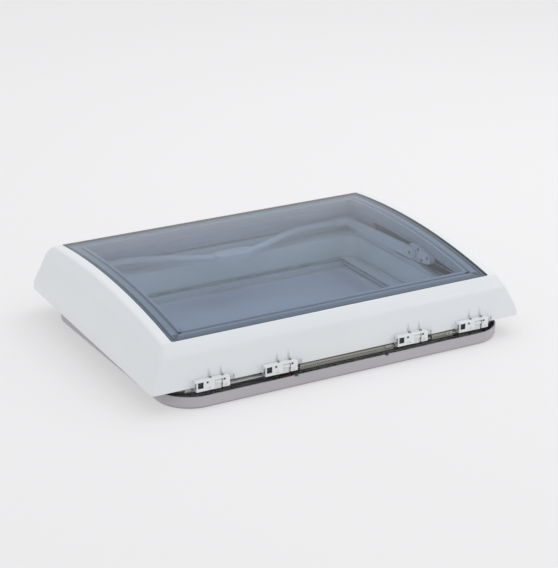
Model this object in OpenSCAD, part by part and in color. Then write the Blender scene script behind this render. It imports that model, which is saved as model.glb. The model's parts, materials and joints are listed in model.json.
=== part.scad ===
// Hinged roof window for a caravan or motorhome, closed and nested on its inner frame.
// +X runs along the hinges, +Y from the hinges to the rear, +Z up. Z = 0 is the inner frame's underside.
// X = 0, Y = 0 is the centre of the roof cut-out.

/* [Roof cut-out] */
// Width of the roof cut-out, along the hinges
cut_w = 700; // [690:1:710]
// Depth of the roof cut-out
cut_d = 500; // [490:1:510]
// Room left between the cut-out and the skirt, each side
cut_gap = 5; // [3:0.5:6]

/* [Inner frame] */
// Outer width of the inner frame
tray_w = 785; // [780:1:800]
// Outer depth of the inner frame
tray_d = 604; // [596:1:616]
// Height of the inner frame
tray_h = 26; // [24:0.5:27]
// Plan radius of the inner frame's corners
tray_r = 75; // [60:1:80]
// Radius of the rounding along the bottom edge
tray_round = 8; // [5:0.5:10]
// Wall of the inner frame
tray_wall = 3; // [2:0.5:4]
// Width of the light opening
light_w = 610; // [600:1:612]
// Depth of the light opening
light_d = 450; // [440:1:452]
// Radius of a fixing hole
fixing_r = 2.25; // [2:0.05:2.5]

/* [Outer frame] */
// Width of the flange that lies on the roof
flange_w = 774; // [760:1:776]
// Depth of the flange that lies on the roof
flange_d = 572; // [566:1:574]
// Height of the flange's underside
flange_z = 29; // [28:0.5:29]
// Thickness of the outer frame's walls
frame_wall = 3; // [2:0.5:3]
// Height of the ledge that the bow handle lies over
ledge_z = 70; // [64:1:71]
// Height of the lip that carries the weather seal
lip_top = 88; // [84:1:88]
// Width of the lip's outline
lip_w = 750; // [740:1:752]
// Distance of the lip's front edge from the centre
lip_front = 255; // [252:1:257]
// Distance of the lip's rear edge from the centre
lip_rear = 290; // [286:1:292]

/* [Hood] */
// Width of the hood's lower edge at the front
hood_w_front = 854; // [840:1:860]
// Width of the hood's lower edge at the rear
hood_w_rear = 844; // [830:1:860]
// Distance of the hood's front lower edge from the centre
hood_front = 285; // [283:0.5:285]
// Distance of the hood's rear lower edge from the centre
hood_rear = 335; // [320:1:345]
// Height of the hood's lower edge at the front
edge_z_front = 40.5; // [40:0.5:42]
// Height of the hood's lower edge at the rear
edge_z_rear = 57; // [50:1:62]
// Wall of the hood
hood_wall = 3; // [2.5:0.5:3.5]

/* [Panes] */
// Width of the outer pane
pane_w = 733; // [728:1:736]
// Distance of the pane's front edge from the centre
pane_front = 251; // [248:1:252]
// Distance of the pane's rear edge from the centre
pane_rear = 276; // [272:1:278]
// Radius that the pane is bent to
pane_bend = 1734; // [1500:1:2200]
// Y of the pane's crown
crown_y = 113; // [100:1:125]
// Height of the pane's crown
crown_z = 168; // [166:1:172]
// Thickness of the outer pane
pane_t = 3.5; // [3:0.5:4]
// Thickness of the inner pane
inner_pane_t = 2.5; // [2:0.5:3]
// Air gap between the panes
pane_gap = 10.5; // [9:0.5:12]
// Width of the rebate that the outer pane is bonded to
rebate = 24.5; // [20:0.5:26]

/* [Hinges] */
// Distance of the hinge axis from the centre
hinge_out = 291; // [290.5:0.5:291.5]
// Height of the hinge axis
hinge_z = 47; // [46.5:0.5:47.5]
// Distance of the inner hinges from the middle
hinge_x_inner = 153; // [150:1:156]
// Distance of the outer hinges from the middle
hinge_x_outer = 303; // [298:1:308]
// Width of a hinge bracket
bracket_w = 72; // [70:1:76]
// Radius of a hinge pin
pin_r = 2.5; // [2.2:0.1:2.6]
// Running clearance round a pin
pin_run = 0.06; // [0.02:0.01:0.09]

/* [Bow handle] */
// Y of the bow handle's pivot
bow_pivot_y = -5; // [-8:0.5:-2]
// Height of the bow handle's pivot
bow_pivot_z = 107; // [106:0.5:108]
// Y of the bow handle's far bar
bow_end_y = 268; // [266:0.5:269]
// Height of the bow handle's far bar
bow_end_z = 100; // [99.5:0.5:101]
// How far the bar bows towards the middle of the opening
bow_dip = 75; // [60:1:80]
// Inner side of the arms, from the middle
arm_x = 334; // [333:0.5:334.5]
// Thickness of an arm
arm_t = 8; // [6:0.5:8]
// Width of the bar
bar_w = 20; // [16:1:20]
// Height of the bar
bar_h = 14; // [10:1:15]
// Length of the grip
grip_l = 92; // [80:1:100]
// Width of the grip
grip_w = 40; // [34:1:42]
// Radius of the release button
button_r = 9; // [7:0.5:10]

/* [Blinds] */
// Depth of a blind's pull bar
pull_d = 6; // [5:0.5:6.5]
// Height of a blind's pull bar
pull_h = 6.2; // [5.5:0.1:6.4]
// Height of the blackout blind's pull bar
blackout_z = 6.4; // [6.3:0.1:6.5]
// Height of the fly screen's pull bar
screen_z = 15.4; // [15.3:0.1:15.5]

/* [Hidden] */
$fn = 48;

eps = 0.01;
white = "whitesmoke";
off_white = "gainsboro";

// Outer frame
skirt_w = cut_w - 2 * cut_gap;
skirt_d = cut_d - 2 * cut_gap;
skirt_r = 45;
well_w = skirt_w - 2 * frame_wall;
well_d = skirt_d - 2 * frame_wall;
flange_top = flange_z + frame_wall;
flange_r = 66;
ledge_top = ledge_z + frame_wall;
lip_mid_y = (lip_rear - lip_front) / 2;
lip_d = lip_rear + lip_front;
lip_r = 40;
seal_h = 4;
seal_w = 5;
roof_seal_w = 12;
seal_wrap = 1.2;

// Fixing holes: one row along each side, two pairs along the front and the rear
fixing_x = 363;
fixing_y = 268;
side_holes_y = 160;
inner_holes_x = 100;
outer_holes_x = 290;
boss_r = 5.5;
boss_top = 20;

// Hinges, counted from the left
hinge_xs = [-hinge_x_outer, -hinge_x_inner, hinge_x_inner, hinge_x_outer];
leaf_shift = 12;
leaf_w = 16;
leaf_t = 2.5;
knuckle_r = 5.5;
slot_gap = 0.6;
rail_lip_t = 1.4;
rail_h = 9.5;
bracket_low = 35;
bracket_high = 55.5;
bracket_front = 298;
bracket_back = 283;
screw_xs = [-1, 25];
screw_y = -286.5;
screw_r = 1.75;

// Blinds
rail_in = light_w / 2;
rail_out = well_w / 2 - 1;
rail_len = well_d - 4;
groove_depth = 12.5;
groove_gap = 0.4;
blind_floor = tray_wall;
blind_top = 24;
pull_w = 2 * (rail_in + groove_depth - 1);
cassette_w = 2 * rail_in - 1;
cassette_in = light_d / 2 + 0.5;
cassette_out = rail_len / 2 + 1;
sheet_t = 1.4;
pack_in = cassette_in + 1 + pull_d + 0.5;
pack_out = cassette_out - sheet_t - 0.5;

// Bow handle
bow_span = bow_end_y - bow_pivot_y;
bow_tilt = atan2(bow_end_z - bow_pivot_z, bow_span);
bolt_r = 4;
bolt_run = 0.3;
bolt_travel = 6;
block_in = 306;
arm_out = arm_x + arm_t;
bolt_in = 324;
bolt_out = arm_out + 10;
bow_pin_r = 4;
plate_in = arm_out + 1.5;
plate_out = 358;
plate_screws = [[-25, 119], [-39, 98], [-60, 109]];
grip_z = 90;
grip_h = 16;
button_travel = 4;
wave_half = 240;
guide_in = 347;
guide_out = 364;
guide_top = bow_end_z - bolt_r - 0.6;

// Height of the pane's outer face above a given y
function arch_z(y) = crown_z - pane_bend + sqrt(pow(pane_bend, 2) - pow(y - crown_y, 2));

// Height of the hood's lower edge above a given y
function edge_z(y) = mix(edge_z_front, edge_z_rear, (y + hood_front) / (hood_front + hood_rear));

function mix(a, b, t) = a + (b - a) * t;

// A closed outline, counter-clockwise: half width at the front and rear, front y, rear y, corner radii
function outline(hf, hr, yf, yr, rf, rr, sides = 14, ends = 3, turn = 6) = concat(
  [for (i = [1 : ends - 1]) [mix(rf - hf, hf - rf, i / ends), yf]],
  [for (i = [0 : turn]) [hf - rf + rf * sin(90 * i / turn), yf + rf - rf * cos(90 * i / turn)]],
  [for (i = [1 : sides - 1]) [mix(hf, hr, i / sides), mix(yf + rf, yr - rr, i / sides)]],
  [for (i = [0 : turn]) [hr - rr + rr * cos(90 * i / turn), yr - rr + rr * sin(90 * i / turn)]],
  [for (i = [1 : ends - 1]) [mix(hr - rr, rr - hr, i / ends), yr]],
  [for (i = [0 : turn]) [rr - hr - rr * sin(90 * i / turn), yr - rr + rr * cos(90 * i / turn)]],
  [for (i = [1 : sides - 1]) [-mix(hr, hf, i / sides), mix(yr - rr, yf + rf, i / sides)]],
  [for (i = [0 : turn]) [rf - hf - rf * cos(90 * i / turn), yf + rf - rf * sin(90 * i / turn)]]
);

// One level of a moulded ring. It lies drop under the pane's curve at share 0 and at low(y) at share 1.
function level(plan, drop, share, base) = [
  for (p = plan) [p.x, p.y, mix(arch_z(p.y) - drop, base < 0 ? edge_z(p.y) : base, share)]
];

// A closed ring-shaped skin through a list of levels that have the same number of points
module ring_skin(levels) {
  n = len(levels[0]);
  m = len(levels);
  points = [for (l = levels) each l];
  faces = [
    for (j = [0 : m - 1], i = [0 : n - 1], half = [0, 1])
      let (row = j * n, next = ((j + 1) % m) * n, along = (i + 1) % n)
        half == 0 ? [row + i, row + along, next + along] : [row + i, next + along, next + i]
  ];
  polyhedron(points = points, faces = faces, convexity = 6);
}

// Flat outline with round corners
module rounded(w, d, r) {
  square([w - 2 * r, d], center = true);
  square([w, d - 2 * r], center = true);
  for (x = [-1, 1], y = [-1, 1]) translate([x * (w / 2 - r), y * (d / 2 - r)]) circle(r);
}

// Upright ring of constant wall
module upright_ring(w, d, r, wall, z0, z1) {
  translate([0, 0, z0]) linear_extrude(z1 - z0) difference() {
    rounded(w, d, r);
    rounded(w - 2 * wall, d - 2 * wall, r - wall);
  }
}

// A profile swept round a rectangle with round corners; the profile's x is 0 at the outer line
module swept_ring(w, d, r) {
  for (q = [0 : 3]) {
    x = (q == 0 || q == 3 ? 1 : -1) * (w / 2 - r);
    y = (q < 2 ? 1 : -1) * (d / 2 - r);
    translate([x, y, 0]) rotate([0, 0, 90 * q])
      rotate_extrude(angle = 90, $fn = 96) translate([r, 0]) children();
    span = q % 2 == 0 ? d - 2 * r : w - 2 * r;
    reach = q % 2 == 0 ? w / 2 : d / 2;
    rotate([0, 0, 90 * q]) translate([reach, span / 2, 0])
      rotate([90, 0, 0]) linear_extrude(span) children();
  }
}

module at_fixings() {
  for (x = [-1, 1], y = [-side_holes_y, 0, side_holes_y]) translate([x * fixing_x, y, 0]) children();
  for (x = [-outer_holes_x, -inner_holes_x, inner_holes_x, outer_holes_x], y = [-1, 1])
    translate([x, y * fixing_y, 0]) children();
}

// ---------------------------------------------------------------- inner frame and what it carries

module tray_profile() {
  difference() {
    union() {
      translate([-tray_round, tray_round]) circle(tray_round);
      translate([-tray_wall, tray_round]) square([tray_wall, tray_h - tray_round]);
      translate([-tray_round - 4, 0]) square([4, tray_wall]);
    }
    translate([-tray_round, tray_round]) circle(tray_round - tray_wall);
    translate([-2 * tray_round - 1, tray_wall]) square([tray_round + 1, 2 * tray_round]);
    translate([-2 * tray_round, tray_round]) square([2 * tray_round - tray_wall, tray_h]);
    translate([-2 * tray_round - 1, -1]) square([tray_round - 3, 2 * tray_round]);
  }
}

module inner_frame() {
  color(white) difference() {
    union() {
      swept_ring(tray_w, tray_d, tray_r) tray_profile();
      linear_extrude(tray_wall) difference() {
        rounded(tray_w - 2 * tray_round - 1, tray_d - 2 * tray_round - 1, tray_r - tray_round);
        rounded(light_w, light_d, 20);
      }
      at_fixings() cylinder(r = boss_r, h = boss_top);
      for (x = [-150, -114]) translate([x, -297, tray_wall - eps]) cube([3, 14, 19 + eps]);
    }
    at_fixings() translate([0, 0, -1]) cylinder(r = fixing_r, h = boss_top + 2);
    for (x = [-121, 89]) translate([x - 4, -tray_d / 2 - 1, tray_h - 3]) cube([8, tray_wall + 2, 4]);
  }
}

module blind_rail(side) {
  inner = rail_in;
  deep = rail_in + groove_depth;
  color(white) intersection() {
    scale([side, 1, 1]) translate([0, rail_len / 2, 0]) rotate([90, 0, 0]) linear_extrude(rail_len)
      difference() {
        translate([inner, blind_floor]) square([rail_out - inner, blind_top - blind_floor]);
        for (z = [blackout_z, screen_z])
          translate([inner - 1, z - groove_gap]) square([deep - inner + 1, pull_h + 2 * groove_gap]);
      }
    linear_extrude(ledge_z) rounded(2 * rail_out, well_d - 2, skirt_r - frame_wall - 1);
  }
}

module cassette(low, high) {
  depth = cassette_out - cassette_in;
  translate([-cassette_w / 2, 0, 0]) {
    translate([0, cassette_in, blind_floor]) cube([cassette_w, depth, low - blind_floor]);
    translate([0, cassette_in, high]) cube([cassette_w, depth, sheet_t]);
    translate([0, cassette_out - sheet_t, low]) cube([cassette_w, sheet_t, high - low]);
  }
}

module cassette_rear() {
  color(off_white) cassette(blackout_z - 1, blackout_z + pull_h + 1);
}

module cassette_front() {
  color(off_white) rotate([0, 0, 180]) cassette(screen_z - 1, screen_z + pull_h + 1);
}

module pull_bar(z) {
  translate([-pull_w / 2, cassette_in + 1, z]) cube([pull_w, pull_d, pull_h]);
  translate([-30, cassette_in - 3, z + 2]) cube([60, 4 + eps, 2.2]);
}

module blackout_bar() {
  color(white) pull_bar(blackout_z);
}

module screen_bar() {
  color("silver") rotate([0, 0, 180]) pull_bar(screen_z);
}

module folded_cloth(z) {
  translate([-cassette_w / 2 + 2, pack_in, z]) cube([cassette_w - 4, pack_out - pack_in, pull_h]);
}

module blackout_fabric() {
  color("lightsteelblue") folded_cloth(blackout_z);
}

module screen_fabric() {
  color("dimgray") rotate([0, 0, 180]) folded_cloth(screen_z);
}

module wiring_board() {
  color("seagreen") translate([-160, -297.5, 22]) cube([56, 14, 1.2]);
}

module terminal_block() {
  color("firebrick") for (x = [-155, -141, -127]) translate([x, -295.5, 23.2]) cube([10, 8, 3.5]);
}

// ---------------------------------------------------------------- outer frame

module outer_frame() {
  color(off_white) {
    difference() {
      upright_ring(flange_w, flange_d, flange_r, (flange_w - skirt_w) / 2 - 1, flange_z, flange_top);
      at_fixings() translate([0, 0, flange_z - 1]) cylinder(r = fixing_r, h = frame_wall + 2);
    }
    translate([0, 0, flange_z]) linear_extrude(frame_wall) difference() {
      rounded(skirt_w + 4, skirt_d + 4, skirt_r);
      rounded(well_w, well_d, skirt_r - frame_wall);
    }
    upright_ring(skirt_w, skirt_d, skirt_r, frame_wall, tray_wall, ledge_top);
    translate([0, 0, ledge_z]) linear_extrude(frame_wall) difference() {
      translate([0, lip_mid_y]) rounded(lip_w, lip_d, lip_r);
      rounded(well_w, well_d, skirt_r - frame_wall);
    }
    translate([0, lip_mid_y, 0]) upright_ring(lip_w, lip_d, lip_r, frame_wall, ledge_z, lip_top);
  }
}

module roof_seal() {
  w = flange_w + 2 * seal_wrap;
  d = flange_d + 2 * seal_wrap;
  r = flange_r + seal_wrap;
  color("black") {
    upright_ring(w, d, r, roof_seal_w + seal_wrap, tray_h, flange_z);
    upright_ring(w, d, r, seal_wrap, flange_z - 0.5, flange_top);
  }
}

module weather_seal() {
  color("dimgray") translate([0, lip_mid_y, 0])
    upright_ring(lip_w + 2, lip_d + 2, lip_r + 1, seal_w, lip_top, lip_top + seal_h);
}

module vent_strip() {
  color(off_white) difference() {
    translate([-300, well_d / 2 - 3.8, 15.2]) cube([600, 3.6, 8.4]);
    for (group = [-200, -150, -100, 50, 100, 150, 210], slit = [-1.5 : 1.5])
      translate([group + slit * 9 - 3, well_d / 2 - 5, 17.8]) cube([6, 6, 3]);
  }
}

module bow_guide(side) {
  color(white) intersection() {
    translate([side > 0 ? guide_in : -guide_out, 0, 0]) rotate([90, 0, 90])
      linear_extrude(guide_out - guide_in) polygon([
        [276, ledge_top], [276, guide_top], [84, guide_top], [74, ledge_top + 10],
        [60, ledge_top + 7], [30, ledge_top + 9], [0, ledge_top + 12], [-14, ledge_top + 11],
        [-40, ledge_top + 6], [-80, ledge_top + 3], [-120, ledge_top + 2], [-120, ledge_top]
      ]);
    translate([0, lip_mid_y, 0]) linear_extrude(crown_z)
      rounded(lip_w - 2 * seal_w, lip_d - 2 * seal_w, lip_r - seal_w);
  }
}

module hinge_rail() {
  color("darkgray") for (run = [[-106, 112], [206, 258]])
    translate([run[0], -flange_d / 2 - seal_wrap, flange_z]) difference() {
      union() {
        translate([0, -rail_lip_t, -0.5]) cube([run[1] - run[0], rail_lip_t, rail_h + 0.5]);
        translate([0, -rail_lip_t, frame_wall]) cube([run[1] - run[0], rail_lip_t + 7, rail_h - frame_wall]);
      }
      for (x = [4 : 5 : run[1] - run[0] - 4]) translate([x, -rail_lip_t - 1, 4]) cube([2.2, 2, 2.6]);
    }
}

module rail_clips() {
  clip_t = 1.5;
  clip_y = -flange_d / 2 - seal_wrap - rail_lip_t - clip_t;
  color("lightgray") {
    for (x = [92, 240]) translate([x, clip_y, flange_top]) difference() {
      cube([14, clip_t, 7.5]);
      translate([5, -1, 3]) cube([4, 4, 2]);
    }
    translate([-357, -284, flange_top]) {
      cube([14, 20, 2]);
      cube([14, clip_t, 7.5]);
    }
  }
}

module hinge_leaf(i) {
  color(off_white) translate([hinge_xs[i] + leaf_shift, 0, 0]) difference() {
    union() {
      translate([-20, -276, flange_top]) cube([40, 18, leaf_t]);
      translate([-leaf_w / 2, -hinge_out - 2.5, flange_top]) cube([leaf_w, hinge_out + 2.5 - 275, leaf_t]);
      translate([-leaf_w / 2, -hinge_out - 2.5, flange_top]) cube([leaf_w, 5, hinge_z - flange_top]);
      translate([-leaf_w / 2, -hinge_out, hinge_z]) rotate([0, 90, 0]) cylinder(r = knuckle_r, h = leaf_w);
    }
    translate([-leaf_w, -hinge_out, hinge_z]) rotate([0, 90, 0])
      cylinder(r = pin_r + pin_run, h = 2 * leaf_w);
  }
}

// ---------------------------------------------------------------- hood and what it carries

module hinge_bracket(i) {
  color(white) translate([hinge_xs[i], 0, 0]) difference() {
    translate([-bracket_w / 2, -bracket_front, bracket_low])
      cube([bracket_w, bracket_front - bracket_back, bracket_high - bracket_low]);
    translate([leaf_shift - leaf_w / 2 - slot_gap, -bracket_front - 1, bracket_low - 1])
      cube([leaf_w + 2 * slot_gap, bracket_front - bracket_back + 2, hinge_z + 6.5 - bracket_low + 1]);
    translate([-bracket_w, -hinge_out, hinge_z]) rotate([0, 90, 0]) cylinder(r = pin_r, h = 2 * bracket_w);
    translate([-33, -bracket_front - 1, 41]) cube([12, 5, 12.5]);
    for (x = [-14.5, 22]) translate([x, -bracket_front - 1, 49.5]) cube([4.5, 4, 4]);
    for (x = [-14, 22]) translate([x, -bracket_front - 1, 37.5]) cube([8, 3, 5]);
  }
}

module hinge_pin(i) {
  color("silver") translate([hinge_xs[i], -hinge_out, hinge_z]) {
    translate([-33, 0, 0]) rotate([0, 90, 0]) cylinder(r = pin_r, h = 82);
    translate([47, -1.5, 0]) cube([2, 3, 6]);
  }
}

module hinge_screws() {
  color("dimgray") for (x = hinge_xs, dx = screw_xs) translate([x + dx, screw_y, 0]) {
    translate([0, 0, 43]) cylinder(r = screw_r, h = bracket_high - 43);
    translate([0, 0, bracket_high]) cylinder(r = 2.9, h = 1.6);
  }
}

// Outline of the pane grown by a side, front and rear offset, with corner radii
function grown(side, front, rear, rf, rr) =
  outline(pane_w / 2 + side, pane_w / 2 + side, -pane_front - front, pane_rear + rear, rf, rr);

function hood_foot(inset) = outline(
  hood_w_front / 2 - inset, hood_w_rear / 2 - inset, -hood_front + inset, hood_rear - inset,
  7 - inset, 21 - inset);

// Side, front and rear offset from the pane's outline, corner radii at front and rear,
// drop under the pane's curve, and share of the way to the foot
hood_steps = [
  [11, 2.3, 2.5, 5, 3, 0.3, 0],
  [20, 3.4, 4, 6, 3, 1, 0],
  [24.5, 6.5, 9, 7, 5, 3.8, 0],
  [27.5, 11.5, 17, 8.5, 10, 8.5, 0],
  [31.5, 16.5, 24.5, 9.5, 15.5, 14, 0],
  [35.5, 20.5, 29, 10, 20, 19.5, 0],
  [40, 22.5, 31.5, 11, 23, 23, 0.05],
  [48, 25.5, 36, 10, 25, 23, 0.3],
  [54.5, 28.5, 42, 9, 24, 23, 0.53],
  [59.2, 31.5, 48.5, 8, 23, 23, 0.77]
];

// The hood's section runs down the outside, round the foot, up the inside and under the pane's rebate
module hood_shell() {
  w = hood_wall;
  lip = 1.8;
  top = pane_t + 0.5;
  color(white) ring_skin(concat(
    [level(grown(-rebate, -rebate, -rebate, 6, 6), top, 0, -1)],
    [level(grown(lip, lip, lip, 5, 5), top, 0, -1)],
    [level(grown(lip, lip, lip, 5, 5), 0, 0, -1)],
    [for (s = hood_steps) level(grown(s[0], s[1], s[2], s[3], s[4]), s[5], s[6], -1)],
    [level(hood_foot(0), 0, 1, -1)],
    [level(hood_foot(w), 0, 1, -1)],
    [for (k = [len(hood_steps) - 1 : -1 : 4])
      let (s = hood_steps[k]) level(grown(s[0] - w, s[1] - w, s[2] - w, s[3], s[4]), s[5] + 1, s[6], -1)],
    [level(grown(24.5, 9, 14, 8, 10), 11, 0, -1)],
    [level(grown(20, 4, 5, 7, 6), top + 2.5, 0, -1)],
    [level(grown(lip + 1, lip + 1, lip + 1, 6, 6), top + w + 0.2, 0, -1)],
    [level(grown(-4, -4, -4, 6, 6), top + w, 0, -1)],
    [level(grown(-rebate, -rebate, -rebate, 6, 6), top + w, 0, -1)]
  ));
}

// Half width, front distance, rear y, drop under the pane's curve and share towards the seal
liner_steps = [
  [342, 226.5, 251.5, 7.8, 0],
  [346, 230, 257, 24, 0],
  [356, 238, 276, 24, 0.45],
  [360, 242, 285, 24, 0.78],
  [370, 248, 288, 24, 1],
  [380, 256, 295, 24, 1]
];

module hood_liner() {
  t = 2.5;
  foot = lip_top + seal_h + 1;
  color(off_white) ring_skin(concat(
    [for (s = liner_steps) level(outline(s[0], s[0], -s[1], s[2], 8, 8), s[3], s[4], foot)],
    [level(outline(380, 380, -256, 295, 8, 8), 24, 1, foot + t)],
    [for (k = [4 : -1 : 1]) let (s = liner_steps[k])
      level(outline(s[0] + t, s[0] + t, -s[1] - t, s[2] + t, 8, 8), s[3], s[4], k == 4 ? foot + t : foot)],
    [level(outline(342 + t, 342 + t, -226.5 - t, 251.5 + t, 8, 8), 7.8 + t, 0, foot)],
    [level(outline(362, 362, -246, 270, 8, 8), 7.8 + t, 0, foot)],
    [level(outline(362, 362, -246, 270, 8, 8), 7.8, 0, foot)]
  ));
}

// Slice of a bent sheet, between two depths under the pane's outer face
module bent_sheet(depth0, depth1) {
  translate([-hood_w_front / 2, crown_y, crown_z - pane_bend]) rotate([0, 90, 0]) difference() {
    cylinder(r = pane_bend - depth0, h = hood_w_front, $fn = 360);
    translate([0, 0, -1]) cylinder(r = pane_bend - depth1, h = hood_w_front + 2, $fn = 360);
  }
}

module pane_plan(grow, r) {
  mid = (pane_rear - pane_front) / 2;
  translate([0, mid, 0]) linear_extrude(crown_z + 20)
    rounded(pane_w + 2 * grow, pane_front + pane_rear + 2 * grow, r);
}

module outer_pane() {
  color("slategray", 0.6) intersection() {
    bent_sheet(0, pane_t);
    pane_plan(0, 5);
  }
}

module pane_gasket() {
  color("darkslategray") intersection() {
    bent_sheet(0.3, pane_t);
    difference() {
      pane_plan(1.6, 6);
      translate([0, 0, -1]) pane_plan(0.05, 5);
    }
  }
}

module pane_spacer() {
  color("lightgray") intersection() {
    bent_sheet(pane_t, pane_t + pane_gap);
    difference() {
      pane_plan(-rebate - 5, 6);
      translate([0, 0, -1]) pane_plan(-rebate - 11, 4);
    }
  }
}

module inner_pane() {
  color("lightsteelblue", 0.4) intersection() {
    bent_sheet(pane_t + pane_gap, pane_t + pane_gap + inner_pane_t);
    pane_plan(-rebate - 5, 6);
  }
}

// ---------------------------------------------------------------- bow handle

module bow_bracket(side) {
  color(off_white) translate([side > 0 ? plate_in : -plate_out, 0, 0]) difference() {
    union() {
      rotate([90, 0, 90]) linear_extrude(plate_out - plate_in)
        polygon([
          [-72, 101], [-66, 117], [-24, 127], [2, 126], [14, 118],
          [14, 98], [2, 91], [-20, 90], [-62, 95]
        ]);
      translate([side > 0 ? -0.8 : 4, bow_pivot_y, bow_pivot_z]) rotate([0, 90, 0])
        cylinder(r = 12, h = plate_out - plate_in - 3.2);
    }
    translate([-2, bow_pivot_y, bow_pivot_z]) rotate([0, 90, 0]) cylinder(r = bow_pin_r, h = 40);
  }
}

module bow_pin(side) {
  color("silver") translate([side > 0 ? arm_x - 2 : -plate_out + 1, bow_pivot_y, bow_pivot_z])
    rotate([0, 90, 0]) cylinder(r = bow_pin_r, h = plate_out - 1 - arm_x + 2);
}

module bow_bracket_screws() {
  color("dimgray") for (side = [-1, 1], p = plate_screws)
    translate([side * (plate_in - 1.2), p[0], p[1]]) rotate([0, side * 90, 0]) {
      cylinder(r = 3.4, h = 1.2 + eps);
      cylinder(r = 1.9, h = 13);
    }
}

module bow_arm(side) {
  color(white) scale([side, 1, 1]) difference() {
    union() {
      translate([arm_x, 0, 0]) rotate([90, 0, 90]) linear_extrude(arm_t) union() {
        polygon([
          [bow_pivot_y, bow_pivot_z - 13], [bow_pivot_y, bow_pivot_z + 13],
          [bow_end_y, bow_end_z + 9], [bow_end_y, bow_end_z - 9]
        ]);
        translate([bow_pivot_y, bow_pivot_z]) circle(13);
        translate([bow_end_y, bow_end_z]) circle(9);
      }
      translate([block_in, bow_end_y - 10, bow_end_z - 8]) cube([arm_x - block_in + 1, 20, 16]);
    }
    translate([arm_x - 20, bow_pivot_y, bow_pivot_z]) rotate([0, 90, 0])
      cylinder(r = bow_pin_r + pin_run, h = 40);
    translate([block_in + 8, bow_end_y, bow_end_z]) rotate([0, 90, 0])
      cylinder(r = bolt_r + bolt_run, h = 50);
  }
}

// The bar's centre line, x from the middle: a smooth wave from the grip back to the arm's end
function bar_line(x) = let (s = (1 - cos(180 * min(abs(x) / wave_half, 1))) / 2)
  [x, bow_end_y - bow_dip * (1 - s), mix(grip_z + grip_h / 2, bow_end_z, s)];

function bar_ring(x, sides) = let (c = bar_line(x))
  [for (k = [0 : sides - 1]) let (a = 360 * k / sides)
    [c.x, c.y + bar_w / 2 * cos(a), c.z + bar_h / 2 * sin(a)]];

module bow_bar(side) {
  sides = 16;
  rings = 22;
  from = grip_l / 2 - 6;
  points = [for (j = [0 : rings]) each bar_ring(mix(from, block_in, j / rings), sides)];
  last = rings * sides;
  faces = concat(
    [[for (k = [0 : sides - 1]) k]],
    [[for (k = [sides - 1 : -1 : 0]) last + k]],
    [for (j = [0 : rings - 1], k = [0 : sides - 1]) let (a = j * sides, n = (k + 1) % sides)
      [a + k, a + sides + k, a + sides + n, a + n]]
  );
  color(white) scale([side, 1, 1]) polyhedron(points = points, faces = faces, convexity = 4);
}

module bow_grip() {
  y = bow_end_y - bow_dip;
  color(white) translate([0, y, grip_z]) difference() {
    linear_extrude(grip_h) rounded(grip_l, grip_w, grip_w / 2 - 0.5);
    translate([0, 0, -1]) cylinder(r = button_r + 0.4, h = 11.6);
  }
}

module release_button() {
  color("gray") translate([0, bow_end_y - bow_dip, grip_z - 4]) cylinder(r = button_r, h = 10);
}

module latch_bolt(side) {
  color("silver") translate([side > 0 ? bolt_in : -bolt_out, bow_end_y, bow_end_z])
    rotate([0, 90, 0]) cylinder(r = bolt_r, h = bolt_out - bolt_in);
}

inner_frame();
outer_frame();
roof_seal();
weather_seal();
vent_strip();
hinge_rail();
rail_clips();
wiring_board();
terminal_block();
blind_rail(-1);  // blind_rail_left
blind_rail(1);  // blind_rail_right
cassette_front();
cassette_rear();
blackout_bar();
blackout_fabric();
screen_bar();
screen_fabric();
bow_guide(-1);  // bow_guide_left
bow_guide(1);  // bow_guide_right
hinge_leaf(0);  // hinge_leaf_1
hinge_leaf(1);  // hinge_leaf_2
hinge_leaf(2);  // hinge_leaf_3
hinge_leaf(3);  // hinge_leaf_4
hinge_pin(0);  // hinge_pin_1
hinge_pin(1);  // hinge_pin_2
hinge_pin(2);  // hinge_pin_3
hinge_pin(3);  // hinge_pin_4
hinge_bracket(0);  // hinge_bracket_1
hinge_bracket(1);  // hinge_bracket_2
hinge_bracket(2);  // hinge_bracket_3
hinge_bracket(3);  // hinge_bracket_4
hinge_screws();
hood_shell();
hood_liner();
outer_pane();
inner_pane();
pane_gasket();
pane_spacer();
bow_bracket(-1);  // bow_bracket_left
bow_bracket(1);  // bow_bracket_right
bow_pin(-1);  // bow_pin_left
bow_pin(1);  // bow_pin_right
bow_bracket_screws();
bow_arm(-1);  // bow_arm_left
bow_arm(1);  // bow_arm_right
bow_bar(-1);  // bow_bar_left
bow_bar(1);  // bow_bar_right
bow_grip();
release_button();
latch_bolt(-1);  // latch_bolt_left
latch_bolt(1);  // latch_bolt_right
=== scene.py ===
"""Looks of a hinged roof window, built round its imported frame.

Shapes are worked out in millimetres, and mesh_piece turns them into metres. Shader values are in metres.
"""

import json
import math

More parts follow.
